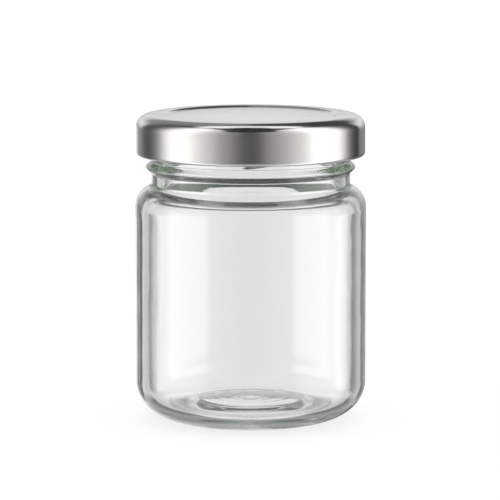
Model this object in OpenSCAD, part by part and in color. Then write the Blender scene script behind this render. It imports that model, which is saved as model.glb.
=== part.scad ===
// Small food jar of clear glass with a four-lug twist-off lid.
// Millimetres, +Z up, origin at the middle of the ring that the jar stands on.

/* [Jar body] */
// How far the body stands out past the lid on each side
body_over = 0.25; // [0:0.05:6]
// Height of the glass from the table to the rim
jar_h = 73.4; // [66:0.2:110]
// Thickness of the body wall
wall = 2.6; // [2:0.1:3.2]
// How far the rounded heel reaches inwards from the body
heel_in = 11.4; // [9:0.2:12.4]
// Height of the rounded heel
heel_h = 9.5; // [8:0.1:12]
// Height of the rounded shoulder
shoulder_h = 5; // [4:0.1:7]
// Thickness of the glass over the cavity, from its roof to the top of the shoulder
shoulder_t = 2.7; // [2.2:0.1:4]
// Height of the round between the cavity's wall and its roof
roof_h = 3.4; // [2:0.1:5]
// Height over which the roof flares into the bore
flare_h = 4.6; // [2:0.1:6]

/* [Jar base] */
// Width of the flat ring that the jar stands on
foot_w = 1.2; // [0.8:0.1:2]
// Height of the hollow under the base
pushup_h = 2.2; // [1:0.1:3]
// Thickness of the glass in the middle of the base
floor_t = 3.2; // [2.4:0.1:4]
// How much the raised middle of the inner floor rises from its edge
floor_crown = 0.2; // [0:0.1:0.8]
// Diameter of the raised middle of the inner floor
raised_d = 24; // [16:0.5:28]
// How much the inner floor falls from the raised middle to its round corner
floor_fall = 1.7; // [0.2:0.1:2]
// Radius of the corner between the floor and the inner wall
floor_corner = 5.8; // [4:0.1:6.5]
// Diameter of the round mould mark under the base
mark_d = 5.3; // [3:0.1:8]
// How far the mould mark stands out of the glass
mark_h = 0.25; // [0.1:0.05:0.4]

/* [Neck and thread] */
// How far a thread ridge stands out of the neck
thread_out = 1.5; // [1.2:0.05:1.7]
// Height of a thread ridge
thread_h = 1.45; // [1.1:0.05:1.7]
// Rise of a thread in one whole turn
thread_lead = 21.5; // [18:0.1:24]
// Angle that each thread ridge runs round the neck
thread_arc = 65; // [55:1:75]
// Direction of the first thread's lower end, counted from +X
thread_start = 265; // [0:1:359]
// Number of threads, and of lugs in the lid
starts = 4; // [3:1:4]
// Thickness of the glass at the neck
neck_wall = 2.7; // [2.4:0.1:3.2]
// Height of the plain neck between the shoulder and the bead
neck_h = 2.8; // [2:0.1:4]
// How far the bead under the lid stands out of the neck
bead_out = 1.25; // [0.8:0.05:1.5]
// Height of the bead
bead_h = 3.4; // [2.6:0.1:4]

/* [Lid] */
// Outer diameter of the lid
lid_d = 55.5; // [48:0.5:70]
// Height of the lid from its edge to its top
lid_h = 10.1; // [9.6:0.1:11]
// Thickness of the tinplate
sheet = 0.2; // [0.15:0.01:0.25]
// Width of the rounded edge at the top of the skirt
lid_edge_w = 3.75; // [3:0.05:4]
// Height of the rounded edge at the top of the skirt
lid_edge_h = 3.1; // [2.4:0.05:3.4]
// Depth of the sunk panel in the top
panel_drop = 0.4; // [0.2:0.05:0.95]
// Width of the slope round the panel
panel_slope = 0.9; // [0.6:0.05:1.2]
// Radius of the rolled edge
curl_r = 0.85; // [0.7:0.01:0.9]
// Angle that the rolled edge is turned through
curl_turn = 250; // [200:5:260]
// Angle that each lug takes up round the edge
lug_arc = 16; // [12:1:18]
// Thickness of a lug
lug_t = 1; // [0.8:0.05:1.1]
// Angle from a thread's lower end to the middle of the lug under it when closed
lug_turn = 44; // [40:1:48]

/* [Sealing ring] */
// Thickness of the sealing ring over the glass rim
seal_t = 0.85; // [0.6:0.05:1]
// How far the sealing ring hangs down beside the rim
seal_lip = 0.5; // [0.3:0.05:0.6]
// How far the sealing ring reaches out past the neck
seal_out = 1.2; // [0.8:0.1:1.5]

/* [Clearances] */
// Gap between the glass rim and the sealing ring
seat_gap = 0.15; // [0.1:0.01:0.2]
// Gap between the sealing ring and the tinplate
bond_gap = 0.05; // [0.03:0.01:0.08]
// Gap between the thread ridges and the rolled edge
curl_gap = 0.45; // [0.3:0.05:0.6]
// Gap between a lug and the thread above it
lug_gap = 0.15; // [0.1:0.01:0.25]
// Gap between a lug's nose and the neck
nose_gap = 0.4; // [0.3:0.05:0.6]
// Height of the gap between the lid's edge and the bead
bead_gap = 1.15; // [0.8:0.05:1.5]

/* [Hidden] */
$fn = 96;

glass_colour = [0.80, 0.88, 0.85, 0.5];
tin_colour = [0.72, 0.71, 0.69];
seal_colour = [0.90, 0.89, 0.85];

// steps in a quarter turn of an outline's round stretch
quarter = 10;
// where the shoulder hands over to the neck's fillet, as an angle of its ellipse
shoulder_end = 72;
// how wide the shoulder's ellipse is, as a share of the step from neck to body
shoulder_share = 1.19;
// how much of the cavity's step to the bore is the bore's flare
flare_share = 0.41;
// how deep the thread ridges are rooted in the neck
thread_root = 0.6;
// angle over which a thread ridge fades out at each end
thread_fade = 9;
// turn between the rings of a thread ridge
thread_step = 5;
// facets round the nose of a thread ridge, and the angle that they reach to each side
thread_facets = 6;
thread_nose = 60;
// how far the panel's slope and the sealing ring stay from the bore
slope_back = 0.2;
seal_in = 0.1;
// how far a lug lies above the lid's edge
lug_rise = 0.05;

lid_r = lid_d / 2;
body_r = lid_r + body_over;
cavity_r = body_r - wall;
thread_r = lid_r - 2 * curl_r - curl_gap;
neck_r = thread_r - thread_out;
bore_r = neck_r - neck_wall;
rim_r = neck_wall / 2;
rim_mid = bore_r + rim_r;
bead_r = neck_r + bead_out;

lid_top = jar_h + seat_gap + seal_t + bond_gap + sheet;
lid_low = lid_top - lid_h;
curl_z = lid_low + curl_r;
slope_top = bore_r - slope_back;
slope_foot = slope_top - panel_slope;

bead_top = lid_low - bead_gap;
bead_z = bead_top - bead_h / 2;
bead_low = bead_top - bead_h;
shoulder_z = bead_low - neck_h;
wall_top = shoulder_z - shoulder_h;
roof_z = shoulder_z - shoulder_t;

lug_low = lid_low + lug_rise;
lug_top = lug_low + lug_t;
lug_nose = neck_r + nose_gap;
rise = thread_lead / 360;
thread_z = lug_top + lug_gap - (lug_turn - lug_arc / 2) * rise;

foot_out = body_r - heel_in;
foot_in = foot_out - foot_w;
floor_edge = cavity_r - floor_corner;
floor_mid_z = pushup_h + floor_t;
raised_r = raised_d / 2;
raised_z = floor_mid_z - floor_crown;
floor_z = raised_z - floor_fall;

// points on an arc of an ellipse about [r, z], from angle a to angle b
function arc(r, z, rr, rz, a, b) =
    let (n = ceil(quarter * abs(b - a) / 90))
    [for (i = [0:n]) let (t = a + (b - a) * i / n) [r + rr * cos(t), z + rz * sin(t)]];

// points on a half wave from [r0, z0] to [r1, z1], level at both ends
function wave(r0, z0, r1, z1) =
    [for (i = [0:quarter]) let (s = i / quarter)
        [r0 + (r1 - r0) * s, z0 + (z1 - z0) * (1 - cos(180 * s)) / 2]];

// the same path moved to its right by t
function beside(path, t) =
    [for (i = [0:len(path) - 1])
        let (
            step = path[min(i + 1, len(path) - 1)] - path[max(i - 1, 0)],
            d = step / norm(step)
        )
        [path[i].x + t * d.y, path[i].y - t * d.x]];

function reversed(path) = [for (i = [len(path) - 1:-1:0]) path[i]];

// height of the hollow under the base at radius r
function pushup(r) = pushup_h * cos(90 * r / foot_in);

// outer surface of the base, from the middle out to the heel
function base_line() = concat(
    [[0, pushup_h - mark_h], [mark_d / 2, pushup_h - mark_h]],
    [for (i = [0:quarter]) let (r = mark_d / 2 + (foot_in - mark_d / 2) * i / quarter) [r, pushup(r)]],
    arc(foot_out, heel_h, heel_in, heel_h, -90, 0)
);

// shoulder and the fillet that leads it into the neck
function shoulder_line() =
    let (
        rr = (body_r - neck_r) * shoulder_share,
        last = [body_r - rr + rr * cos(shoulder_end), wall_top + shoulder_h * sin(shoulder_end)],
        normal = [cos(shoulder_end) / rr, sin(shoulder_end) / shoulder_h],
        n = normal / norm(normal),
        fillet = (last.x - neck_r) / (1 - n.x),
        lean = atan2(n.x, n.y)
    )
    concat(
        arc(body_r - rr, wall_top, rr, shoulder_h, 0, shoulder_end),
        arc(neck_r + fillet, last.y + fillet * n.y, fillet, fillet, -90 - lean, -180)
    );

// the bead, level with the neck at its top and bottom
function bead_line() =
    [for (i = [0:2 * quarter]) let (s = i / quarter - 1)
        [neck_r + bead_out * (1 + cos(180 * s)) / 2, bead_z + bead_h / 2 * s]];

// inner surface, from the rim down to the middle of the floor
function cavity_line() =
    let (
        flare = (cavity_r - bore_r) * flare_share,
        roof = (cavity_r - bore_r) * (1 - flare_share)
    )
    concat(
        arc(bore_r + flare, roof_z + flare_h, flare, flare_h, 180, 270),
        arc(cavity_r - roof, roof_z - roof_h, roof, roof_h, 90, 0),
        arc(floor_edge, floor_z + floor_corner, floor_corner, floor_corner, 0, -90),
        reversed(wave(raised_r, raised_z, floor_edge, floor_z)),
        reversed(wave(0, floor_mid_z, raised_r, raised_z))
    );

// height of a thread ridge's section as a share of the whole one, at angle a along it
function fade(a) =
    let (end = min(a, thread_arc - a) / thread_fade)
    end >= 1 ? 1 : sin(90 * max(end, 0));

// one thread ridge: rings of points along the helix, with both ends inside the neck
module thread_ridge() {
    count = ceil(thread_arc / thread_step);
    sides = thread_facets + 3;
    sunk = thread_root / 2;
    points = [for (i = [0:count])
        let (a = thread_arc * i / count, out = (thread_out + sunk) * fade(a) - sunk)
        for (j = [0:sides - 1])
            let (
                t = thread_nose * (2 * j / thread_facets - 1),
                rooted = j > thread_facets,
                r = neck_r + (rooted ? -thread_root : out * cos(t)),
                side = rooted ? (j == sides - 2 ? 1 : -1) : sin(t),
                z = thread_z + a * rise + thread_h / 2 * (1 + side)
            )
            [r * cos(a), r * sin(a), z]];
    side_faces = [for (i = [0:count - 1]) for (j = [0:sides - 1])
        let (k = (j + 1) % sides, p = i * sides, q = (i + 1) * sides)
        for (face = [[p + j, p + k, q + j], [p + k, q + k, q + j]]) face];
    first_face = [[for (j = [sides - 1:-1:0]) j]];
    last_face = [[for (j = [0:sides - 1]) count * sides + j]];
    polyhedron(points, concat(side_faces, first_face, last_face));
}

module glass_jar() {
    color(glass_colour) {
        rotate_extrude()
            polygon(concat(
                base_line(),
                shoulder_line(),
                bead_line(),
                arc(rim_mid, jar_h - rim_r, rim_r, rim_r, 0, 180),
                cavity_line()
            ));
        for (i = [0:starts - 1])
            rotate([0, 0, thread_start + 360 * i / starts]) thread_ridge();
    }
}

// outer face of the tinplate, from the middle of the top to the end of the rolled edge
function lid_line() = concat(
    [[0, lid_top - panel_drop]],
    wave(slope_foot, lid_top - panel_drop, slope_top, lid_top),
    arc(lid_r - lid_edge_w, lid_top - lid_edge_h, lid_edge_w, lid_edge_h, 90, 0),
    arc(lid_r - curl_r, curl_z, curl_r, curl_r, 0, -curl_turn)
);

module lug() {
    rotate([0, 0, -lug_arc / 2])
        rotate_extrude(angle = lug_arc)
            polygon(concat(
                arc(lug_nose + lug_t / 2, lug_low + lug_t / 2, lug_t / 2, lug_t / 2, 90, 270),
                [[lid_r - curl_r, lug_low], [lid_r - curl_r, lug_top]]
            ));
}

module lid_shell() {
    color(tin_colour) {
        rotate_extrude()
            polygon(concat(lid_line(), reversed(beside(lid_line(), sheet))));
        for (i = [0:starts - 1])
            rotate([0, 0, thread_start + lug_turn + 360 * (i - 1) / starts]) lug();
    }
}

module sealing_ring() {
    in_r = bore_r + seal_in;
    out_r = neck_r + seal_out;
    groove_r = rim_r + seat_gap;
    inner_angle = acos((in_r - rim_mid) / groove_r);
    outer_angle = asin((rim_r - seal_lip) / groove_r);
    back = sheet + bond_gap;
    edge_angle = acos((out_r - lid_r + lid_edge_w) / (lid_edge_w - back));
    color(seal_colour)
        rotate_extrude()
            polygon(concat(
                [[in_r, lid_top - back]],
                arc(rim_mid, jar_h - rim_r, groove_r, groove_r, inner_angle, outer_angle),
                [[out_r, jar_h - seal_lip]],
                arc(lid_r - lid_edge_w, lid_top - lid_edge_h, lid_edge_w - back, lid_edge_h - back, edge_angle, 90)
            ));
}

glass_jar();
lid_shell();
sealing_ring();
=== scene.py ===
import math

import bpy
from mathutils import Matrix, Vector


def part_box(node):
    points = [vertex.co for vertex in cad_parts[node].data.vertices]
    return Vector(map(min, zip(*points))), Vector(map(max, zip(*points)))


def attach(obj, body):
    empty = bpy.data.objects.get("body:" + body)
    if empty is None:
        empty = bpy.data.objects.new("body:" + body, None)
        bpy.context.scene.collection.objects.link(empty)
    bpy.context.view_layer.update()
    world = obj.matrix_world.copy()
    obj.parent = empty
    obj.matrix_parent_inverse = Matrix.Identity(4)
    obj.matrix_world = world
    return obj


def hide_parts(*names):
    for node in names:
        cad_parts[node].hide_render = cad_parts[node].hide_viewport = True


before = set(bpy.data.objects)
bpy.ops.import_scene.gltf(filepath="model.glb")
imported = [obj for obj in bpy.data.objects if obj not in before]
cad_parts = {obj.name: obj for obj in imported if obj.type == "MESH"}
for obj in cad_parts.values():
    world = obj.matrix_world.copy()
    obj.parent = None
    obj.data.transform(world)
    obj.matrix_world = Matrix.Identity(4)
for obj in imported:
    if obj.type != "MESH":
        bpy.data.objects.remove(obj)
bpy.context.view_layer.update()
mm = 0.001
tiny = 0.001 * mm  # points no further apart than this are one point
print("frame loaded:", ", ".join(sorted(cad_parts)))


# small helpers for modelling

def selectOnly(piece):
    bpy.ops.object.select_all(action="DESELECT")
    piece.select_set(True)
    bpy.context.view_layer.objects.active = piece


def arcLine(r, z, wide, high, start, end, steps):
    turns = [math.radians(start + (end - start) * i / steps) for i in range(steps + 1)]
    return [(r + wide * math.cos(t), z + high * math.sin(t)) for t in turns]


def waveLine(start, end, steps):
    # half a wave, level at both ends
    shares = [i / steps for i in range(steps + 1)]
    return [
        (
            start[0] + (end[0] - start[0]) * s,
            start[1] + (end[1] - start[1]) * (1 - math.cos(math.pi * s)) / 2,
        )
        for s in shares
    ]


def straightLine(start, end, steps):
    shares = [i / steps for i in range(steps + 1)]
    return [tuple(a + (b - a) * s for a, b in zip(start, end)) for s in shares]


def drawOutline(name, outline):
    # a plane merged to one corner, then drawn on from point to point; outline is (radius, height) in mm
    bpy.ops.object.select_all(action="DESELECT")
    bpy.ops.mesh.primitive_plane_add(size=mm)
    piece = bpy.context.object
    piece.name = name
    piece.data.name = name
    bpy.ops.object.mode_set(mode="EDIT")
    bpy.ops.mesh.select_all(action="SELECT")
    bpy.ops.mesh.merge(type="CENTER")
    places = [Vector((r * mm, 0, z * mm)) for r, z in outline]
    bpy.ops.transform.translate(value=places[0])
    for here, there in zip(places, places[1:]):
        if (there - here).length > tiny:
            bpy.ops.mesh.extrude_region_move(TRANSFORM_OT_translate={"value": there - here})
    return piece


def applyModifier(piece, kind, **values):
    selectOnly(piece)
    modifier = piece.modifiers.new(kind.title(), kind)
    for key, value in values.items():
        setattr(modifier, key, value)
    bpy.ops.object.modifier_apply(modifier=modifier.name)


def spinOutline(piece, steps):
    # the outline in edit mode becomes a body of revolution about the jar's axis
    bpy.ops.object.mode_set(mode="OBJECT")
    applyModifier(piece, "SCREW", axis="Z", steps=steps, render_steps=steps)
    bpy.ops.object.mode_set(mode="EDIT")
    bpy.ops.mesh.select_all(action="SELECT")
    bpy.ops.mesh.remove_doubles(threshold=2 * tiny)
    bpy.ops.mesh.normals_make_consistent(inside=False)
    bpy.ops.object.mode_set(mode="OBJECT")
    bpy.ops.object.shade_smooth()


def raiseWhere(piece, name, height, rule):
    # pushes the surface out by height in mm, weighted by rule(angle in degrees, radius, z) from 0 to 1
    group = piece.vertex_groups.new(name=name)
    for vertex in piece.data.vertices:
        x, y, z = vertex.co / mm
        weight = rule(math.degrees(math.atan2(y, x)) % 360, math.hypot(x, y), z)
        if weight > 0:
            group.add([vertex.index], min(weight, 1), "REPLACE")
    applyModifier(piece, "DISPLACE", strength=height * mm, mid_level=0, vertex_group=name)
    piece.vertex_groups.remove(piece.vertex_groups[name])


def smoothStep(low, high, value):
    share = min(max((value - low) / (high - low), 0), 1)
    return share * share * (3 - 2 * share)


def hump(value, middle, wide):
    # a rounded ridge, 1 at its middle
    return math.exp(-(((value - middle) / wide) ** 2))


# small helpers for nodes

def addNode(tree, kind, values=None, **options):
    # values sets or links inputs by name or number
    node = tree.nodes.new(kind)
    for key, value in options.items():
        setattr(node, key, value)
    for key, value in (values or {}).items():
        if isinstance(value, bpy.types.NodeSocket):
            tree.links.new(value, node.inputs[key])
        else:
            node.inputs[key].default_value = value
    return node


def calc(tree, operation, first, second=0.0, third=0.0):
    values = {0: first, 1: second, 2: third}
    return addNode(tree, "ShaderNodeMath", values, operation=operation).outputs[0]


def ramp(tree, value, low, high, toLow=0.0, toHigh=1.0):
    values = {"Value": value, "From Min": low, "From Max": high, "To Min": toLow, "To Max": toHigh}
    return addNode(tree, "ShaderNodeMapRange", values, interpolation_type="SMOOTHSTEP").outputs[0]


def stepAt(tree, value, middle, soft, below=0.0, above=1.0):
    # from below to above, starting soft before the middle and ending soft after it
    return ramp(tree, value, middle - soft, middle + soft, below, above)


def window(tree, value, low, high, soft):
    # 1 between low and high
    rise = stepAt(tree, value, low, soft)
    fall = stepAt(tree, value, high, soft, 1.0, 0.0)
    return calc(tree, "MULTIPLY", rise, fall)


def mixed(tree, share, first, second):
    values = {0: share, 2: first, 3: second}
    return addNode(tree, "ShaderNodeMix", values, data_type="FLOAT").outputs[0]


def newGroup(name, inputs, outputs):
    group = bpy.data.node_groups.new(name, "ShaderNodeTree")
    for label, kind, value in inputs:
        socket = group.interface.new_socket(name=label, in_out="INPUT", socket_type=kind)
        if value is not None:
            socket.default_value = value
    for label, kind in outputs:
        group.interface.new_socket(name=label, in_out="OUTPUT", socket_type=kind)
    return group, group.nodes.new("NodeGroupInput").outputs, group.nodes.new("NodeGroupOutput").inputs


def useGroup(tree, group, values):
    return addNode(tree, "ShaderNodeGroup", values, node_tree=group).outputs


def newMaterial(name):
    material = bpy.data.materials.new(name)
    material.use_nodes = True
    tree = material.node_tree
    return material, tree, tree.nodes["Principled BSDF"], tree.nodes["Material Output"]


def dress(piece, material):
    piece.data.materials.clear()
    piece.data.materials.append(material)


# camera, set where the photo was taken from

cameraSettings = {
    "distance": 840.44,  # mm from the jar's axis
    "height": 154.72,
    "pitch": 7.689,  # degrees down
    "lens": 251.09,
    "sensor": 36,
    "sideShift": -0.0012,
    "bounces": 32,  # thick glass passes light on many times
}


def makeCamera(s):
    data = bpy.data.cameras.new("photoCamera")
    data.lens = s["lens"]
    data.sensor_width = s["sensor"]
    data.shift_x = s["sideShift"]
    camera = bpy.data.objects.new("photoCamera", data)
    camera.location = (0, -s["distance"] * mm, s["height"] * mm)
    camera.rotation_euler = (math.radians(90 - s["pitch"]), 0, 0)
    bpy.context.scene.collection.objects.link(camera)
    bpy.context.scene.camera = camera
    bpy.context.scene.view_settings.view_transform = "Standard"
    cycles = bpy.context.scene.cycles
    cycles.max_bounces = s["bounces"]
    cycles.glossy_bounces = s["bounces"]
    cycles.transmission_bounces = s["bounces"]


makeCamera(cameraSettings)
print("camera placed")


# studio: brightness by direction, counted in degrees from straight behind the jar

studioSettings = {
    "peak": 1.75,
    "mirrorRight": [  # what gloss sees, going round from behind by the right to the front
        (0, 0.1), (20, 0.08), (36, 0.1), (48, 0.06), (57, 0.14), (65, 0.4), (72, 0.97), (78, 1.45),
        (84, 1.75), (113, 1.75), (119, 1.45), (125, 1.15), (134, 0.91), (142, 0.74), (150, 0.58),
        (159, 0.43), (167, 0.26), (173, 0.14), (180, 0.12),
    ],
    "mirrorLeft": [
        (0, 0.4), (17, 0.4), (32, 0.38), (45, 0.17), (54, 0.11), (62, 0.16), (70, 0.31), (76, 0.57),
        (83, 1.07), (88, 1.4), (95, 1.75), (113, 1.75), (119, 1.5), (124, 1.3), (132, 1.02),
        (141, 0.8), (149, 0.55), (157, 0.41), (165, 0.26), (173, 0.14), (180, 0.12),
    ],
    "sideTop": 66,  # degrees above the table where the lights at the sides end
    "frontTop": 50,
    "frontFrom": 130,  # going round, the sides turn into the front between these
    "frontTo": 150,
    "topSoft": 4,
    "dark": 0.03,  # the ceiling
    "backdrop": [  # straight behind, from 10 degrees below the horizon up
        (0, 0.2), (6, 0.35), (11, 0.62), (15.4, 0.8), (18.5, 1.0), (23, 1.05), (29, 0.8), (40, 0.03),
    ],
    "backdropLow": -10,
    "backdropReach": 40,
    "backdropSoft": 3,
    "edgeLeft": 21,  # how far the white field behind the jar shows in its outermost edges
    "edgeRight": 5,
    "edgeSoft": 2.0,
    "edgeTop": -3,
    "edgeTopSoft": 1,
    "overhead": 1.8,  # a lamp above and behind
    "overheadLow": 62,
    "overheadHigh": 79,
    "overheadSoft": 2.0,
    "overheadReach": 75,
    "overheadFade": 9,
    "table": 0.6,
    "tableTop": -25,
    "tableSoft": 8,
    "fold": 45.0,  # the next four lists run to here and back again, all the way round
    "throughRight": [  # what glass lets through, going round from behind to the side
        (0, 0.88), (5, 0.88), (8, 0.94), (10.5, 1.04), (12, 1.0), (15.6, 0.95), (19, 0.7), (20.5, 0.3),
        (22, 0.03), (31, 0.03), (33, 0.2), (45, 0.5),
    ],
    "throughLeft": [
        (0, 0.88), (5, 0.89), (8, 0.95), (10.6, 1.03), (12, 0.96), (13.5, 0.7), (16, 0.6), (19.5, 0.2),
        (22, 0.08), (25, 0.6), (30, 0.9), (45, 0.7),
    ],
    "inWallRight": [  # the same after a reflection inside the wall
        (0, 0.95), (9, 0.5), (12.4, 0.26), (20.8, 0.16), (24, 0.2), (26, 0.5), (28, 0.74), (34, 0.67),
        (40, 0.42), (45, 0.4),
    ],
    "inWallLeft": [
        (0, 0.95), (9, 0.7), (11, 0.4), (14, 0.08), (20.8, 0.05), (27.6, 0.11), (30, 0.4), (33.4, 0.8),
        (39.6, 0.75), (45, 0.6),
    ],
    "openFrom": 140,  # from here round to the camera the dark bars are left out
    "barsLow": -16,  # the bars stand only between these two heights
    "barsHigh": -1,
    "barsSoft": 2.5,
    "plainInWall": 0.72,  # under the bars
    "plainSoft": 3,
    "wallsFrom": 50,  # light mirrored inside the glass takes on the levels of gloss between these
    "wallsTo": 60,
    "mirrorMost": 1.3,  # the most that it takes on
    "mirrorEdge": 132,  # past this it keeps only mirrorBeyond of them
    "mirrorSoft": 4,
    "mirrorBeyond": 0.2,
    "heelLow": -20,  # from here down it comes off the shaded table
    "heelSoft": 6,
    "heelFrom": 12,  # where heelShare starts to fall to heelSide
    "heelTo": 45,
    "heelShare": 0.45,
    "heelSide": 0.14,
    "steep": -56,  # further down the table is lit again
    "steepSoft": 4,
    "steepLevel": 0.75,
    "throughHigh": 27,  # above this glass shows only the ceiling
    "throughSoft": 3,
    "ceilingInGlass": 0.12,
    "plain": 0.95,  # light on everything matt
    "plainBelow": 0.75,  # shares of it that come from straight below and above
    "plainAbove": 1.25,
}


def roundLevels(tree, angle, levels, peak):
    span = levels[-1][0]
    node = addNode(tree, "ShaderNodeValToRGB", {"Fac": calc(tree, "DIVIDE", angle, float(span))})
    stops = node.color_ramp
    while len(stops.elements) < len(levels):
        stops.elements.new(1.0)
    for stop, (turn, level) in zip(stops.elements, levels):
        stop.position = turn / span
        stop.color = (level / peak, level / peak, level / peak, 1)
    return calc(tree, "MULTIPLY", node.outputs["Color"], peak)


def bothSides(tree, s, angle, onRight, left, right):
    # left and right are the names of two lists of levels
    leftLevels = roundLevels(tree, angle, s[left], s["peak"])
    rightLevels = roundLevels(tree, angle, s[right], s["peak"])
    return mixed(tree, onRight, leftLevels, rightLevels)


def glossLevel(tree, s, walls, turn, side, lift):
    top = ramp(tree, side, s["frontFrom"], s["frontTo"], s["sideTop"], s["frontTop"])
    upper = stepAt(tree, calc(tree, "SUBTRACT", lift, top), 0, s["topSoft"], 1.0, 0.0)
    level = calc(tree, "MAXIMUM", calc(tree, "MULTIPLY", walls, upper), s["dark"])
    height = calc(tree, "MAXIMUM", calc(tree, "SUBTRACT", lift, s["backdropLow"]), 0.0)
    backdrop = roundLevels(tree, height, s["backdrop"], s["peak"])
    near = stepAt(tree, side, s["backdropReach"], s["backdropSoft"], 1.0, 0.0)
    level = calc(tree, "MAXIMUM", level, calc(tree, "MULTIPLY", backdrop, near))
    across = window(tree, turn, -s["edgeLeft"], s["edgeRight"], s["edgeSoft"])
    low = stepAt(tree, lift, s["edgeTop"], s["edgeTopSoft"], 1.0, 0.0)
    level = calc(tree, "MAXIMUM", level, calc(tree, "MULTIPLY", across, low))
    lamp = window(tree, lift, s["overheadLow"], s["overheadHigh"], s["overheadSoft"])
    near = stepAt(tree, side, s["overheadReach"], s["overheadFade"], 1.0, 0.0)
    lamp = calc(tree, "MULTIPLY", calc(tree, "MULTIPLY", lamp, near), s["overhead"])
    level = calc(tree, "MAXIMUM", level, lamp)
    below = stepAt(tree, lift, s["tableTop"], s["tableSoft"], 1.0, 0.0)
    return calc(tree, "MAXIMUM", level, calc(tree, "MULTIPLY", below, s["table"]))


def directLevel(tree, s, fold, onRight, side, lift):
    # light that comes straight through the glass
    level = bothSides(tree, s, fold, onRight, "throughLeft", "throughRight")
    plateau = s["throughRight"][0][1]
    front = calc(tree, "GREATER_THAN", side, s["openFrom"])
    level = calc(tree, "MAXIMUM", level, calc(tree, "MULTIPLY", front, plateau))
    bars = window(tree, lift, s["barsLow"], s["barsHigh"], s["barsSoft"])
    return mixed(tree, bars, plateau, level)


def mirroredLevel(tree, s, walls, fold, onRight, side, lift):
    # light that was mirrored inside the glass
    inWall = bothSides(tree, s, fold, onRight, "inWallLeft", "inWallRight")
    inWall = mixed(tree, stepAt(tree, lift, s["barsLow"], s["plainSoft"]), s["plainInWall"], inWall)
    beyond = stepAt(tree, side, s["mirrorEdge"], s["mirrorSoft"], 1.0, s["mirrorBeyond"])
    walls = calc(tree, "MINIMUM", calc(tree, "MULTIPLY", walls, beyond), s["mirrorMost"])
    level = mixed(tree, ramp(tree, side, s["wallsFrom"], s["wallsTo"]), inWall, walls)
    shade = ramp(tree, side, s["heelFrom"], s["heelTo"], s["heelShare"], s["heelSide"])
    shade = mixed(tree, stepAt(tree, lift, s["heelLow"], s["heelSoft"]), shade, 1.0)
    level = calc(tree, "MULTIPLY", level, shade)
    return mixed(tree, stepAt(tree, lift, s["steep"], s["steepSoft"]), s["steepLevel"], level)


def makeStudio(s):
    world = bpy.data.worlds.new("studio")
    world.use_nodes = True
    bpy.context.scene.world = world
    tree = world.node_tree
    sky = tree.nodes["Background"]
    ray = addNode(tree, "ShaderNodeLightPath").outputs
    look = addNode(tree, "ShaderNodeTexCoord").outputs["Generated"]
    x, y, z = addNode(tree, "ShaderNodeSeparateXYZ", {0: look}).outputs
    turn = calc(tree, "DEGREES", calc(tree, "ARCTAN2", x, y))
    side = calc(tree, "ABSOLUTE", turn)
    lift = calc(tree, "DEGREES", calc(tree, "ARCSINE", z))
    onRight = calc(tree, "GREATER_THAN", turn, 0.0)
    fold = calc(tree, "PINGPONG", turn, s["fold"])

    walls = bothSides(tree, s, side, onRight, "mirrorLeft", "mirrorRight")
    gloss = glossLevel(tree, s, walls, turn, side, lift)
    direct = directLevel(tree, s, fold, onRight, side, lift)
    mirrored = mirroredLevel(tree, s, walls, fold, onRight, side, lift)
    under = stepAt(tree, lift, s["throughHigh"], s["throughSoft"], 1.0, 0.0)
    direct = mixed(tree, under, s["dark"], direct)
    mirrored = mixed(tree, under, s["ceilingInGlass"], mirrored)
    wasMirrored = calc(tree, "GREATER_THAN", ray["Glossy Depth"], 0.5)
    through = mixed(tree, wasMirrored, direct, mirrored)
    plain = ramp(tree, z, -1.0, 1.0, s["plainBelow"] * s["plain"], s["plainAbove"] * s["plain"])

    level = mixed(tree, ray["Is Glossy Ray"], plain, gloss)
    level = mixed(tree, ray["Is Transmission Ray"], level, through)  # these count as glossy rays too
    level = mixed(tree, ray["Is Camera Ray"], level, 1.0)
    tree.links.new(level, sky.inputs["Strength"])
    sky.inputs["Color"].default_value = (1, 1, 1, 1)


floorSettings = {
    "size": 4000,
    "drop": 0.05,  # mm under the jar's foot, so that the faces don't fight
    "glow": 0.81,
    "tone": 0.21,
}


def makeFloor(s):
    bpy.ops.object.select_all(action="DESELECT")
    bpy.ops.mesh.primitive_plane_add(size=s["size"] * mm, location=(0, 0, -s["drop"] * mm))
    bpy.ops.object.transform_apply(location=True, rotation=True, scale=True)
    floor = bpy.context.object
    floor.name = "studioFloor"
    material, tree, shader, out = newMaterial("studioFloor")
    tree.nodes.remove(shader)
    ray = addNode(tree, "ShaderNodeLightPath").outputs
    matt = addNode(tree, "ShaderNodeBsdfDiffuse", {"Color": (s["tone"], s["tone"], s["tone"], 1)})
    glow = addNode(tree, "ShaderNodeEmission", {"Strength": s["glow"]})
    lit = addNode(tree, "ShaderNodeAddShader", {0: matt.outputs[0], 1: glow.outputs[0]})
    clear = addNode(tree, "ShaderNodeBsdfTransparent")
    seesStudio = calc(tree, "MAXIMUM", ray["Is Glossy Ray"], ray["Is Transmission Ray"])
    parts = {0: seesStudio, 1: lit.outputs[0], 2: clear.outputs[0]}
    surface = addNode(tree, "ShaderNodeMixShader", parts)
    tree.links.new(surface.outputs[0], out.inputs["Surface"])
    dress(floor, material)


makeStudio(studioSettings)
makeFloor(floorSettings)
print("studio built")


# glass jar

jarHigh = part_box("glass_jar")[1]
lidLow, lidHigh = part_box("lid_shell")
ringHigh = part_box("sealing_ring")[1]

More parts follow.
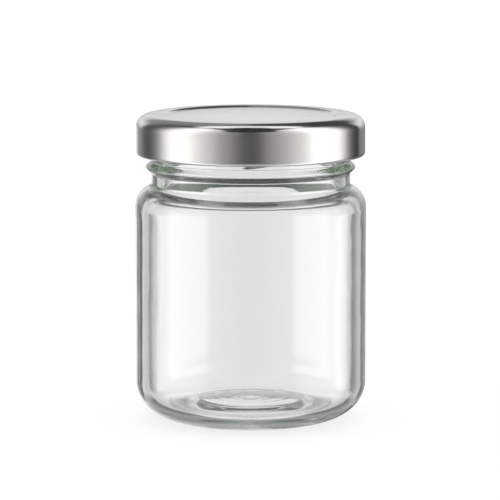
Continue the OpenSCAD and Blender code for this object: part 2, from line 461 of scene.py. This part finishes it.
glassSizes = {  # mm and degrees
    "body": jarHigh.x / mm,
    "rim": jarHigh.z / mm,
    "wall": 2.6,
    "heelIn": 11.4,
    "heelHigh": 9.5,
    "shoulderHigh": 5,
    "shoulderThick": 2.7,
    "shoulderEnd": 72,
    "shoulderShare": 1.19,
    "flareShare": 0.41,
    "flareHigh": 4.6,
    "roofHigh": 3.4,
    "footWide": 1.2,
    "pushUp": 2.2,
    "floorThick": 3.2,
    "floorCrown": 0.2,
    "floorRaised": 12,  # radius of the raised middle of the floor
    "floorFall": 1.7,  # from there down to the round corner
    "floorCorner": 5.8,
    "markWide": 5.3,
    "markHigh": 0.25,
    "markSlope": 0.25,  # width of the mark's sloping side
    "threadRadius": 25.6,
    "threadOut": 1.5,
    "threadHigh": 1.45,
    "threadLead": 21.5,
    "threadArc": 65,
    "threadFade": 9,
    "threadStart": 265,
    "threadLow": 63.6,  # underside of a thread at its low end
    "threadSideShares": (0.3, 1.3),  # of half its height, where its side slopes down
    "starts": 4,
    "neckWall": 2.7,
    "neckHigh": 2.8,
    "beadOut": 1.25,
    "beadHigh": 3.4,
    "beadGap": 1.15,  # from the lid's edge down to the bead
    "ripple": 0.06,  # unevenness of the blown inner wall
    "rippleFoot": (10, 16),  # it rises between these heights
    "rippleHead": (46, 51),  # and dies away between these
    "swells": [  # share, waves round the jar, start in radians, mm of height for a radian
        (0.22, 3, 0.9, 17), (0.16, 7, 0, -23), (0.12, 13, 2.1, 31),
    ],
    "floorWave": 0.13,  # rings that the plunger leaves on the floor
    "floorWaveLength": 2.7,
    "floorWaveShare": 0.35,
    "floorWaveFrom": (2.5, 5),
    "floorWaveFade": 2,
    "floorRings": (9.0, 15.0, 19.6),
    "floorRingWide": 0.6,
    "floorRingShare": 0.65,
    "drifts": [(0.35, 2, 0.6), (0.2, 5, 2)],  # out of round: mm, waves round the jar, start in radians
    "ringsHigh": 3,  # how far over and past the flat floor the rings are looked for
    "ringsPast": 4,
    "plungerRing": 2.3,
    "plungerWide": 0.45,
    "plungerHigh": 0.06,
    "plungerOver": 1.8,  # height of the middle over the lowest part of the floor
    "plungerNear": 0.6,
    "markRing": 3.3,  # a raised ring round the mark under the jar
    "markRingWide": 0.5,
    "markRingHigh": 0.1,
    "markRingEnd": 5,
    "seam": 0.035,  # the mould's two seams
    "seamAngle": 15,
    "seamWide": 0.8,  # degrees to each side
    "seamDeep": 1.5,  # how far in from the body's radius a seam runs
    "seamFootShare": 0.4,  # of the heel's height, where it starts
    "slack": 0.1,  # for telling one face from the next
    "around": 240,
}


def heelLine(s):
    foot = s["body"] - s["heelIn"]
    inner = foot - s["footWide"]
    mark = s["markWide"] / 2
    markTop = s["pushUp"] - s["markHigh"]

    def hollow(r):
        return s["pushUp"] * math.cos(math.pi / 2 * r / inner)

    disc = straightLine((0, markTop), (mark - s["markSlope"], markTop), 4)
    rise = waveLine(disc[-1], (mark, hollow(mark)), 5)
    dome = [(r, hollow(r)) for r, level in straightLine((mark, 0), (inner, 0), 20)]
    ring = straightLine((inner, 0), (foot, 0), 6)
    heel = arcLine(foot, s["heelHigh"], s["heelIn"], s["heelHigh"], -90, 0, 36)
    return disc + rise + dome + ring + heel


def shoulderLine(s, neck, wallTop):
    wide = (s["body"] - neck) * s["shoulderShare"]
    end = math.radians(s["shoulderEnd"])
    middle = s["body"] - wide
    last = (middle + wide * math.cos(end), wallTop + s["shoulderHigh"] * math.sin(end))
    slope = Vector((math.cos(end) / wide, math.sin(end) / s["shoulderHigh"])).normalized()
    fillet = (last[0] - neck) / (1 - slope.x)
    lean = math.degrees(math.atan2(slope.x, slope.y))
    over = arcLine(middle, wallTop, wide, s["shoulderHigh"], 0, s["shoulderEnd"], 22)
    into = arcLine(neck + fillet, last[1] + fillet * slope.y, fillet, fillet, -90 - lean, -180, 12)
    return over + into


def cavityLine(s, bore, roof):
    cavity = s["body"] - s["wall"]
    flare = (cavity - bore) * s["flareShare"]
    roofWide = cavity - bore - flare
    corner = s["floorCorner"]
    floorMid = s["pushUp"] + s["floorThick"]
    floorEdge = floorMid - s["floorCrown"]
    floorLow = floorEdge - s["floorFall"]
    top = arcLine(bore + flare, roof + s["flareHigh"], flare, s["flareHigh"], 180, 270, 22)
    top += arcLine(cavity - roofWide, roof - s["roofHigh"], roofWide, s["roofHigh"], 90, 0, 20)
    low = arcLine(cavity - corner, floorLow + corner, corner, corner, 0, -90, 30)
    side = straightLine(top[-1], low[0], 30)
    fall = waveLine((cavity - corner, floorLow), (s["floorRaised"], floorEdge), 30)
    middle = waveLine(fall[-1], (0, floorMid), 44)
    return top + side[1:-1] + low + fall + middle[1:]


def beadLine(s, neck, low, steps):
    # one whole wave, out from the neck and back
    shares = [i / steps for i in range(steps + 1)]
    return [
        (neck + s["beadOut"] * (1 - math.cos(math.tau * t)) / 2, low + s["beadHigh"] * t) for t in shares
    ]


def raiseThreads(piece, s, neck, low, high):
    half = s["threadHigh"] / 2

    def thread(angle, r, z):
        if not (abs(r - neck) < s["slack"] / 2 and low - s["slack"] < z < high + s["slack"]):
            return 0
        best = 0
        for start in range(s["starts"]):
            along = (angle - s["threadStart"] - 360 * start / s["starts"]) % 360
            if along > s["threadArc"]:
                continue
            off = abs(z - s["threadLow"] - along * s["threadLead"] / 360 - half) / half
            ends = smoothStep(0, s["threadFade"], min(along, s["threadArc"] - along))
            best = max(best, ends * (1 - smoothStep(*s["threadSideShares"], off)))
        return best

    raiseWhere(piece, "thread", s["threadOut"], thread)


def raiseRipple(piece, s):
    wall = s["body"] - s["wall"]

    def ripple(angle, r, z):
        inside = 1 - smoothStep(wall + s["slack"], wall + 2 * s["slack"], r)
        height = smoothStep(*s["rippleFoot"], z) * (1 - smoothStep(*s["rippleHead"], z))
        swell = 0.5
        for share, waves, start, lean in s["swells"]:
            swell += share * math.sin(waves * math.radians(angle) + start + z / lean)
        return inside * height * swell

    raiseWhere(piece, "ripple", s["ripple"], ripple)


def raiseFloor(piece, s):
    # rings inside, on the floor
    low = s["pushUp"] + s["floorThick"] - s["floorCrown"] - s["floorFall"]
    end = s["body"] - s["wall"] - s["floorCorner"]

    def rings(angle, r, z):
        if z < low - s["slack"] or z > low + s["ringsHigh"] or r > end + s["ringsPast"]:
            return 0
        drift = sum(d * math.sin(waves * math.radians(angle) + start) for d, waves, start in s["drifts"])
        wave = 0.5 + 0.5 * math.cos(math.tau * (r + drift) / s["floorWaveLength"])
        wave *= s["floorWaveShare"] * smoothStep(*s["floorWaveFrom"], r)
        wave *= 1 - smoothStep(end, end + s["floorWaveFade"], r)
        for middle in s["floorRings"]:
            wave += s["floorRingShare"] * hump(r + drift / 2, middle, s["floorRingWide"])
        return wave

    def plunger(angle, r, z):
        near = abs(z - low - s["plungerOver"]) < s["plungerNear"]
        return hump(r, s["plungerRing"], s["plungerWide"]) if near else 0

    raiseWhere(piece, "rings", s["floorWave"], rings)
    raiseWhere(piece, "plunger", s["plungerHigh"], plunger)


def raiseOutside(piece, s, beadLow):
    # the ring under the jar and the seams up its sides
    def markRing(angle, r, z):
        under = abs(z - s["pushUp"]) < s["markRingWide"] and r < s["markRingEnd"]
        return hump(r, s["markRing"], s["markRingWide"]) if under else 0

    def seam(angle, r, z):
        onSide = abs(angle % 180 - s["seamAngle"]) < s["seamWide"] and r > s["body"] - s["seamDeep"]
        return 1 if onSide and s["heelHigh"] * s["seamFootShare"] < z < beadLow else 0

    raiseWhere(piece, "markRing", s["markRingHigh"], markRing)
    raiseWhere(piece, "seam", s["seam"], seam)


def makeJar(s):
    neck = s["threadRadius"] - s["threadOut"]
    rimHalf = s["neckWall"] / 2
    rimLow = s["rim"] - rimHalf
    beadTop = lidLow.z / mm - s["beadGap"]
    beadLow = beadTop - s["beadHigh"]
    shoulderTop = beadLow - s["neckHigh"]
    heel = heelLine(s)
    shoulder = shoulderLine(s, neck, shoulderTop - s["shoulderHigh"])
    wall = straightLine(heel[-1], shoulder[0], 24)
    bead = beadLine(s, neck, beadLow, 24)
    threads = straightLine(bead[-1], (neck, rimLow), 76)
    lip = arcLine(neck - rimHalf, rimLow, rimHalf, rimHalf, 0, 180, 16)
    outline = heel + wall[1:-1] + shoulder + bead + threads[1:-1] + lip
    outline += cavityLine(s, neck - s["neckWall"], shoulderTop - s["shoulderThick"])
    piece = drawOutline("glassJar", outline)
    spinOutline(piece, s["around"])
    print("jar spun:", len(piece.data.vertices), "points")
    raiseThreads(piece, s, neck, beadTop, rimLow)
    raiseRipple(piece, s)
    raiseFloor(piece, s)
    raiseOutside(piece, s, beadLow)
    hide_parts("glass_jar")
    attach(piece, "jar")
    return piece


glassJar = makeJar(glassSizes)


# tinplate lid

lidSizes = {  # mm and degrees
    "radius": lidHigh.x / mm,
    "top": lidHigh.z / mm,
    "low": lidLow.z / mm,
    "sheet": 0.2,
    "edgeWide": 3.75,
    "edgeHigh": 3.1,
    "panelDrop": 0.4,
    "panelCrown": 0.38,
    "slopeTop": 21.2,
    "slopeWide": 1.3,
    "ringFall": 0.08,  # the ring round the panel slopes a little outwards
    "curl": 0.85,
    "curlTurn": 250,
    "lugArc": 16,
    "lugMiddle": 0.55,  # height of a lug's middle over the lid's edge
    "lugNose": 24.5,
    "lugFirst": 219,
    "lugs": 4,
    "lugPasses": 6,
    "lugSpare": 2,  # degrees drawn in past each end of a lug
    "lugTaper": 3,  # degrees fewer by the last pass
    "lugZoneShare": 2.2,  # of the curl, how high over the edge it is drawn in
    "lugBiteShare": 0.15,
    "lugSquash": 0.93,
    "around": 240,
}


def pullLugs(piece, s):
    # the rolled edge is drawn in to four lugs, a little more with each pass
    curlMiddle = s["radius"] - s["curl"]
    passes = s["lugPasses"]
    pull = (s["lugNose"] / (curlMiddle - s["curl"])) ** (1 / passes)
    middle = (0, 0, (s["low"] + s["lugMiddle"]) * mm)
    for step in range(passes):
        selectOnly(piece)
        bpy.ops.object.mode_set(mode="EDIT")
        bpy.ops.mesh.select_mode(type="VERT")
        bpy.ops.mesh.select_all(action="DESELECT")
        bpy.ops.object.mode_set(mode="OBJECT")
        reach = s["lugArc"] / 2 + s["lugSpare"] - s["lugTaper"] * step / passes
        for vertex in piece.data.vertices:
            x, y, z = vertex.co / mm
            away = (math.degrees(math.atan2(y, x)) - s["lugFirst"]) % (360 / s["lugs"])
            away = min(away, 360 / s["lugs"] - away)
            inwards = (curlMiddle - math.hypot(x, y)) / s["curl"]
            low = z < s["low"] + s["lugZoneShare"] * s["curl"]
            vertex.select = low and away < reach and inwards > s["lugBiteShare"] * step
        bpy.ops.object.mode_set(mode="EDIT")
        bpy.ops.transform.resize(value=(pull, pull, s["lugSquash"]), center_override=middle)
        bpy.ops.object.mode_set(mode="OBJECT")


def makeLid(s):
    panel = s["top"] - s["panelDrop"]
    foot = s["slopeTop"] - s["slopeWide"]
    curlMiddle = (s["radius"] - s["curl"], s["low"] + s["curl"])
    outline = arcLine(0, panel, foot, s["panelCrown"], 90, 0, 24)
    outline += waveLine((foot, panel), (s["slopeTop"], s["top"]), 12)
    ring = (s["radius"] - s["edgeWide"], s["top"] - s["ringFall"])
    outline += straightLine((s["slopeTop"], s["top"]), ring, 4)
    edgeLow = s["top"] - s["edgeHigh"]
    outline += arcLine(ring[0], edgeLow, s["edgeWide"], s["edgeHigh"] - s["ringFall"], 90, 0, 28)
    outline += straightLine(outline[-1], (s["radius"], curlMiddle[1]), 6)
    outline += arcLine(*curlMiddle, s["curl"], s["curl"], 0, -s["curlTurn"], 30)
    piece = drawOutline("lidShell", outline)
    spinOutline(piece, s["around"])
    pullLugs(piece, s)
    applyModifier(piece, "SOLIDIFY", thickness=s["sheet"] * mm, offset=-1, use_even_offset=True)
    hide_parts("lid_shell")
    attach(piece, "lid")
    return piece


lidShell = makeLid(lidSizes)
print("lid spun:", len(lidShell.data.vertices), "points")


# sealing ring

ringSizes = {  # mm
    "inner": 21.5,
    "outer": 25.3,
    "overBore": 0.1,  # how much wider its hole is than the jar's, to each side
    "groove": 1.5,  # radius of the groove that the rim presses in
    "rimHalf": 1.35,
    "lip": 0.5,
    "back": 0.25,  # in from the outside of the lid's edge
    "around": 240,
}


def makeRing(s):
    top = ringHigh.z / mm
    rimMid = s["inner"] - s["overBore"] + s["rimHalf"]
    rimZ = jarHigh.z / mm - s["rimHalf"]
    innerAngle = math.degrees(math.acos((s["inner"] - rimMid) / s["groove"]))
    outerAngle = math.degrees(math.asin((s["rimHalf"] - s["lip"]) / s["groove"]))
    edgeMiddle = (lidSizes["radius"] - lidSizes["edgeWide"], lidSizes["top"] - lidSizes["edgeHigh"])
    wide = lidSizes["edgeWide"] - s["back"]
    high = lidSizes["edgeHigh"] - s["back"]
    edgeAngle = math.degrees(math.acos((s["outer"] - edgeMiddle[0]) / wide))
    outline = [(s["inner"], top)]
    outline += arcLine(rimMid, rimZ, s["groove"], s["groove"], innerAngle, outerAngle, 16)
    outline += [(s["outer"], jarHigh.z / mm - s["lip"])]
    outline += arcLine(*edgeMiddle, wide, high, edgeAngle, 90, 10)
    outline += [(s["inner"], top)]
    piece = drawOutline("sealingRing", outline)
    spinOutline(piece, s["around"])
    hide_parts("sealing_ring")
    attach(piece, "seal")
    return piece


sealingRing = makeRing(ringSizes)
print("ring spun:", len(sealingRing.data.vertices), "points")


# finishes; the groups take a place in mm and give masks, values and normals

def mmPlace(tree):
    place = addNode(tree, "ShaderNodeTexCoord").outputs["Object"]
    return addNode(tree, "ShaderNodeVectorMath", {0: place, "Scale": 1 / mm}, operation="SCALE").outputs[0]


noiseSpan = (0.3, 0.7)  # where nearly all of a noise lies


def makeMottle():
    # soft spots about Size mm apart, from Low to High
    group, given, result = newGroup(
        "mottle",
        [
            ("Place", "NodeSocketVector", None),
            ("Size", "NodeSocketFloat", 5.0),
            ("Detail", "NodeSocketFloat", 3.0),
            ("Low", "NodeSocketFloat", 0.0),
            ("High", "NodeSocketFloat", 1.0),
        ],
        [("Value", "NodeSocketFloat")],
    )
    scale = calc(group, "DIVIDE", 1.0, given["Size"])
    noise = addNode(
        group, "ShaderNodeTexNoise", {"Vector": given["Place"], "Scale": scale, "Detail": given["Detail"]}
    )
    spots = ramp(group, noise.outputs["Fac"], *noiseSpan, given["Low"], given["High"])
    group.links.new(spots, result["Value"])
    return group


scratchPattern = {
    "stretch": (0.07, 3.2, 3.2),  # long along the first direction and close together across it
    "edge": 0.78,  # noise over this is a scratch; Amount brings it down
    "edgeFall": 0.16,
    "edgeSoft": 0.04,
    "patchScale": 0.16,
    "patches": (0.45, 0.6),  # noise that turns the scratches off and on
}


def makeScratches(s):
    # hair lines: noise drawn out along one direction, cut high and broken up
    group, given, result = newGroup(
        "scratches",
        [
            ("Place", "NodeSocketVector", None),
            ("Turn", "NodeSocketVector", None),
            ("Amount", "NodeSocketFloat", 0.5),
        ],
        [("Mask", "NodeSocketFloat")],
    )
    turned = addNode(
        group,
        "ShaderNodeVectorRotate",
        {"Vector": given["Place"], "Rotation": given["Turn"]},
        rotation_type="EULER_XYZ",
    )
    drawn = addNode(
        group, "ShaderNodeVectorMath", {0: turned.outputs[0], 1: s["stretch"]}, operation="MULTIPLY"
    )
    lines = addNode(group, "ShaderNodeTexNoise", {"Vector": drawn.outputs[0], "Scale": 1.0, "Detail": 1.0})
    patches = addNode(
        group, "ShaderNodeTexNoise", {"Vector": given["Place"], "Scale": s["patchScale"], "Detail": 2.0}
    )
    edge = calc(group, "SUBTRACT", s["edge"], calc(group, "MULTIPLY", given["Amount"], s["edgeFall"]))
    over = ramp(group, calc(group, "SUBTRACT", lines.outputs["Fac"], edge), 0.0, s["edgeSoft"])
    patchy = ramp(group, patches.outputs["Fac"], *s["patches"])
    group.links.new(calc(group, "MULTIPLY", over, patchy), result["Mask"])
    return group


def makeBand():
    # 1 at heights from Low to High, and within Inner to Outer from the axis
    group, given, result = newGroup(
        "band",
        [
            ("Place", "NodeSocketVector", None),
            ("Low", "NodeSocketFloat", 0.0),
            ("High", "NodeSocketFloat", 1.0),
            ("Inner", "NodeSocketFloat", -1.0),
            ("Outer", "NodeSocketFloat", 100.0),
            ("Soft", "NodeSocketFloat", 0.2),
        ],
        [("Mask", "NodeSocketFloat"), ("Radius", "NodeSocketFloat")],
    )
    x, y, z = addNode(group, "ShaderNodeSeparateXYZ", {0: given["Place"]}).outputs
    flat = addNode(group, "ShaderNodeCombineXYZ", {0: x, 1: y})
    radius = addNode(group, "ShaderNodeVectorMath", {0: flat.outputs[0]}, operation="LENGTH").outputs["Value"]

    def between(value, low, high):
        up = calc(group, "DIVIDE", calc(group, "SUBTRACT", value, low), given["Soft"])
        down = calc(group, "DIVIDE", calc(group, "SUBTRACT", high, value), given["Soft"])
        return ramp(group, calc(group, "MINIMUM", up, down), -0.5, 0.5)

    level = between(z, given["Low"], given["High"])
    around = between(radius, given["Inner"], given["Outer"])
    group.links.new(calc(group, "MULTIPLY", level, around), result["Mask"])
    group.links.new(radius, result["Radius"])
    return group


mottle = makeMottle()
scratches = makeScratches(scratchPattern)
band = makeBand()


def mottled(tree, place, size, detail, low=0.0, high=1.0):
    given = {"Place": place, "Size": size, "Low": low, "High": high, "Detail": detail}
    return useGroup(tree, mottle, given)["Value"]


def scratched(tree, place, lines):
    return useGroup(tree, scratches, {"Place": place, **lines})["Mask"]


def banded(tree, place, limits):
    return useGroup(tree, band, {"Place": place, **limits})["Mask"]


def blend(tree, share, first, second):
    # a colour between two, by a mask
    node = addNode(tree, "ShaderNodeMix", {"Factor": share, 6: first, 7: second}, data_type="RGBA")
    return node.outputs[2]


def bump(tree, height, distance, below=None):
    values = {"Height": height, "Distance": distance * mm, "Strength": 1.0}
    if below is not None:
        values["Normal"] = below
    return addNode(tree, "ShaderNodeBump", values).outputs["Normal"]


glassFinish = {  # mm
    "absorb": (0.8, 0.93, 0.79, 1),  # what the glass takes out over its thickness
    "density": 14.0,
    "index": 1.52,
    "clear": (1.0, 1.0, 1.0, 1),
    "dull": (0.955, 0.965, 0.955, 1),  # smudges and the scuffed foot
    "foot": {"Low": -1.0, "High": 0.35, "Inner": 14.6, "Outer": 20.5, "Soft": 0.5},
    "scuff": 0.22,  # roughness of the foot
    "hair": {"Turn": (0.3, 0.9, 0.5), "Amount": 0.45},
    "hairShare": 0.35,
    "smudgeSize": 7.0,
    "smudgeShare": 0.12,
    "smudgeFrom": 0.55,  # the part of the mottle that is rough
    "smudge": 0.012,
    "waveSize": 9.0,
    "wave": 0.012,
    "stippleSize": 0.42,
    "stipple": 0.05,
}


def clearGlass(s):
    material, tree, shader, out = newMaterial("clearGlass")
    place = mmPlace(tree)
    shader.inputs["Metallic"].default_value = 0.0
    shader.inputs["Transmission Weight"].default_value = 1.0
    shader.inputs["IOR"].default_value = s["index"]
    foot = banded(tree, place, s["foot"])
    hair = scratched(tree, place, s["hair"])
    smudge = mottled(tree, place, s["smudgeSize"], 4.0)
    dull = calc(tree, "MAXIMUM", foot, calc(tree, "MULTIPLY", hair, s["hairShare"]))
    dull = calc(tree, "MAXIMUM", dull, calc(tree, "MULTIPLY", smudge, s["smudgeShare"]))
    tree.links.new(blend(tree, dull, s["clear"], s["dull"]), shader.inputs["Base Color"])
    rough = calc(tree, "MULTIPLY", ramp(tree, smudge, s["smudgeFrom"], 1.0), s["smudge"])
    rough = calc(tree, "MAXIMUM", rough, calc(tree, "MULTIPLY", foot, s["scuff"]))
    tree.links.new(rough, shader.inputs["Roughness"])
    stipple = calc(tree, "MULTIPLY", mottled(tree, place, s["stippleSize"], 1.0), foot)
    normal = bump(tree, mottled(tree, place, s["waveSize"], 1.5), s["wave"])
    normal = bump(tree, stipple, s["stipple"], normal)
    tree.links.new(normal, shader.inputs["Normal"])
    depth = addNode(tree, "ShaderNodeVolumeAbsorption", {"Color": s["absorb"], "Density": s["density"]})
    tree.links.new(depth.outputs[0], out.inputs["Volume"])
    return material


tinFinish = {  # mm
    "lacquer": (0.63, 0.62, 0.6, 1),
    "shade": (0.605, 0.595, 0.572, 1),  # the darker spots of the lacquer's mottle
    "spotSizes": (1.1, 9.0),
    "paintedRimShade": (0.47, 0.465, 0.45, 1),  # painted shade: the top of the lid made darker out towards its rim, for light that falls off there
    "paintedShadeFrom": 9.0,
    "paintedShadeTo": 24.0,
    "topBandHigh": 1.0,  # how far over and under the lid's top the painted shade reaches; the worn ring reaches up to the same height
    "bare": (0.72, 0.71, 0.69, 1),  # tin where the lacquer is worn or scratched
    "curlWorn": 0.35,  # wear up the rolled edge and down the ring on top
    "ringWorn": 0.12,
    "ringInner": 21.0,
    "ringShare": 0.15,
    "chipSize": 0.6,
    "chips": (0.62, 0.78),
    "hairs": [{"Turn": (0.0, 0.25, 0.7), "Amount": 0.55}, {"Turn": (0.2, 0.1, 2.3), "Amount": 0.45}],
    "hairShare": 0.5,
    "rough": (0.12, 0.18),
    "worn": 0.1,  # roughness of bare tin
    "grainSize": 0.35,
    "grain": 0.0016,
    "waveSize": 8.0,
    "wave": 0.008,
}


def satinTin(s):
    material, tree, shader, out = newMaterial("satinTin")
    place = mmPlace(tree)
    shader.inputs["Metallic"].default_value = 1.0
    top = lidSizes["top"]
    fine, broad = s["spotSizes"]
    spots = calc(tree, "ADD", mottled(tree, place, fine, 4.0), mottled(tree, place, broad, 3.0))
    spots = calc(tree, "MULTIPLY", spots, 0.5)
    curl = banded(tree, place, {"Low": 0.0, "High": lidSizes["low"] + s["curlWorn"], "Soft": 0.5})
    over = top + s["topBandHigh"]
    ringLimits = {"Low": top - s["ringWorn"], "High": over, "Inner": s["ringInner"], "Soft": 0.25}
    ring = calc(tree, "MULTIPLY", banded(tree, place, ringLimits), s["ringShare"])
    chips = ramp(tree, mottled(tree, place, s["chipSize"], 3.0), *s["chips"])
    worn = calc(tree, "MULTIPLY", calc(tree, "MAXIMUM", curl, ring), chips)
    first, second = [scratched(tree, place, lines) for lines in s["hairs"]]
    hair = calc(tree, "MULTIPLY", calc(tree, "MAXIMUM", first, second), s["hairShare"])
    worn = calc(tree, "MAXIMUM", worn, hair)
    # painted shade: on the lid's top the lacquer colour darkens from the middle out towards the rim
    onTop = useGroup(tree, band, {"Place": place, "Low": top - s["topBandHigh"], "High": over, "Soft": 0.5})
    tone = calc(tree, "MULTIPLY", ramp(tree, onTop["Radius"], s["paintedShadeFrom"], s["paintedShadeTo"]), onTop["Mask"])
    colour = blend(tree, tone, blend(tree, spots, s["shade"], s["lacquer"]), s["paintedRimShade"])
    tree.links.new(blend(tree, worn, colour, s["bare"]), shader.inputs["Base Color"])
    rough = ramp(tree, spots, 0.0, 1.0, s["rough"][1], s["rough"][0])
    tree.links.new(mixed(tree, worn, rough, s["worn"]), shader.inputs["Roughness"])
    normal = bump(tree, mottled(tree, place, s["waveSize"], 1.0), s["wave"])
    normal = bump(tree, mottled(tree, place, s["grainSize"], 2.0), s["grain"], normal)
    tree.links.new(normal, shader.inputs["Normal"])
    return material


compoundFinish = {  # mm
    "pale": (0.84, 0.82, 0.76, 1),
    "shade": (0.77, 0.74, 0.67, 1),
    "spotSize": 1.6,
    "pressed": (0.7, 0.68, 0.62, 1),  # where the glass rim has pressed into it
    "track": {"Low": 0.0, "High": 74.0, "Inner": 22.1, "Outer": 23.4, "Soft": 0.5},
    "trackSize": 3.0,
    "trackLevels": (0.35, 0.8),
    "pressedSmoother": 0.1,
    "rough": (0.42, 0.6),
    "grainSize": 0.5,
    "grain": 0.012,
}


def sealCompound(s):
    material, tree, shader, out = newMaterial("sealCompound")
    place = mmPlace(tree)
    spots = mottled(tree, place, s["spotSize"], 4.0)
    colour = blend(tree, spots, s["shade"], s["pale"])
    uneven = mottled(tree, place, s["trackSize"], 3.0, *s["trackLevels"])
    pressed = calc(tree, "MULTIPLY", banded(tree, place, s["track"]), uneven)
    tree.links.new(blend(tree, pressed, colour, s["pressed"]), shader.inputs["Base Color"])
    pressedRough = s["rough"][0] - s["pressedSmoother"]
    rough = mixed(tree, pressed, ramp(tree, spots, 0.0, 1.0, *s["rough"]), pressedRough)
    tree.links.new(rough, shader.inputs["Roughness"])
    grain = mottled(tree, place, s["grainSize"], 2.0)
    tree.links.new(bump(tree, grain, s["grain"]), shader.inputs["Normal"])
    return material


dress(glassJar, clearGlass(glassFinish))
dress(lidShell, satinTin(tinFinish))
dress(sealingRing, sealCompound(compoundFinish))
print("materials made")
